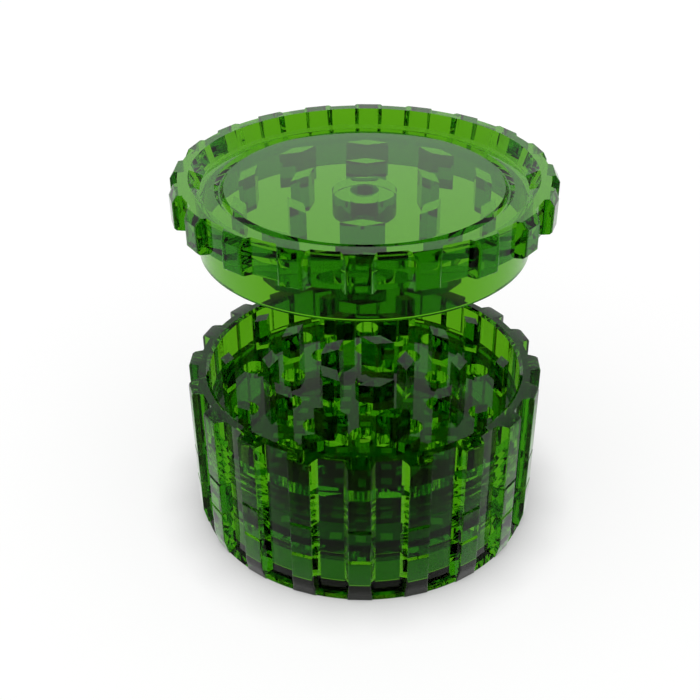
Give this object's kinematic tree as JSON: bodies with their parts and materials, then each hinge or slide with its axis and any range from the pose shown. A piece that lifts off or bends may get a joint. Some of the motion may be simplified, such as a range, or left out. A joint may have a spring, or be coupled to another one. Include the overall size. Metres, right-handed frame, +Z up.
{
  "type": "herb grinder",
  "caption": "Hand grinder for herbs in clear green plastic: ribbed screw-together stack of catching cup, sieve ring and toothed chamber, with a toothed lid that lifts off and turns.",
  "frame": {"origin": "centre of the foot's flat underside, on the axis of the stack", "axes": "+Z up along the axis of the stack, towards the lid; -Y is the front"},
  "size_m": [0.06, 0.06, 0.0625],
  "materials": {
    "clear_green": "clear, polished",
    "sieve_green": "clear, fine mesh"
  },
  "bodies": {
    "base": {"base_cup": "clear_green"},
    "sieve": {"sieve_screen": "sieve_green", "sieve_ring": "clear_green"},
    "ring": {"middle_ring": "clear_green"},
    "pivot": {"pivot_pin": "clear_green"},
    "chamber": {"grinding_chamber": "clear_green"},
    "bush": {"pivot_bush": "clear_green"},
    "lid": {"lid": "clear_green"}
  },
  "joints": [
    {"name": "ring_lift", "type": "slide", "parent": "base", "child": "sieve", "axis": [0, 0, 1], "range_m": [0, 0.003]},
    {"name": "ring_turn", "type": "hinge", "parent": "sieve", "child": "ring", "pos_m": [0, 0, 0.009], "axis": [0, 0, 1], "range_deg": [0, 720]},
    {"name": "chamber_lift", "type": "slide", "parent": "ring", "child": "pivot", "axis": [0, 0, 1], "range_m": [0, 0.00375]},
    {"name": "chamber_turn", "type": "hinge", "parent": "pivot", "child": "chamber", "pos_m": [0, 0, 0.015], "axis": [0, 0, 1], "range_deg": [0, 900]},
    {"name": "lid_lift", "type": "slide", "parent": "chamber", "child": "bush", "axis": [0, 0, 1], "range_m": [-0.02895, 0]},
    {"name": "lid_turn", "type": "hinge", "parent": "bush", "child": "lid", "pos_m": [0, 0, 0.057], "axis": [0, 0, 1], "continuous": true}
  ],
  "couplings": [
    {"joint": "ring_lift", "follows": "ring_turn", "m_per_rad": 0.00023873},
    {"joint": "chamber_lift", "follows": "chamber_turn", "m_per_rad": 0.00023873}
  ]
}
